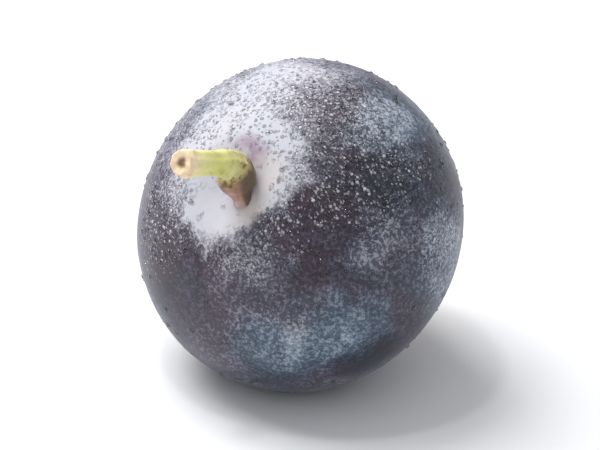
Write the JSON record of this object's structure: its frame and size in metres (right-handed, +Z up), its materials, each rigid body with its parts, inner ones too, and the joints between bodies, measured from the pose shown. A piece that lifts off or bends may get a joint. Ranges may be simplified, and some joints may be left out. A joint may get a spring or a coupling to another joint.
{
  "type": "blueberry",
  "caption": "Ripe blueberry resting on its side, with waxy bloom, a dried lobed calyx at the blossom end and a short bent stem.",
  "frame": {"origin": "on the resting surface, straight under the middle of the fruit", "axes": "+Z up from the resting surface; the stem end leans towards -Y and -X, and the calyx faces down towards +Y and +X"},
  "size_m": [0.0164, 0.0161, 0.0157],
  "materials": {
    "skin": "dark blue skin under a pale waxy bloom with fine dew",
    "calyx": "dry papery brown, pinkish tan on the inner disc",
    "stem": "satin yellow green, tan at the broken end"
  },
  "bodies": {
    "root": {"berry": "skin", "calyx_crown": "calyx", "stem": "stem"}
  },
  "joints": []
}
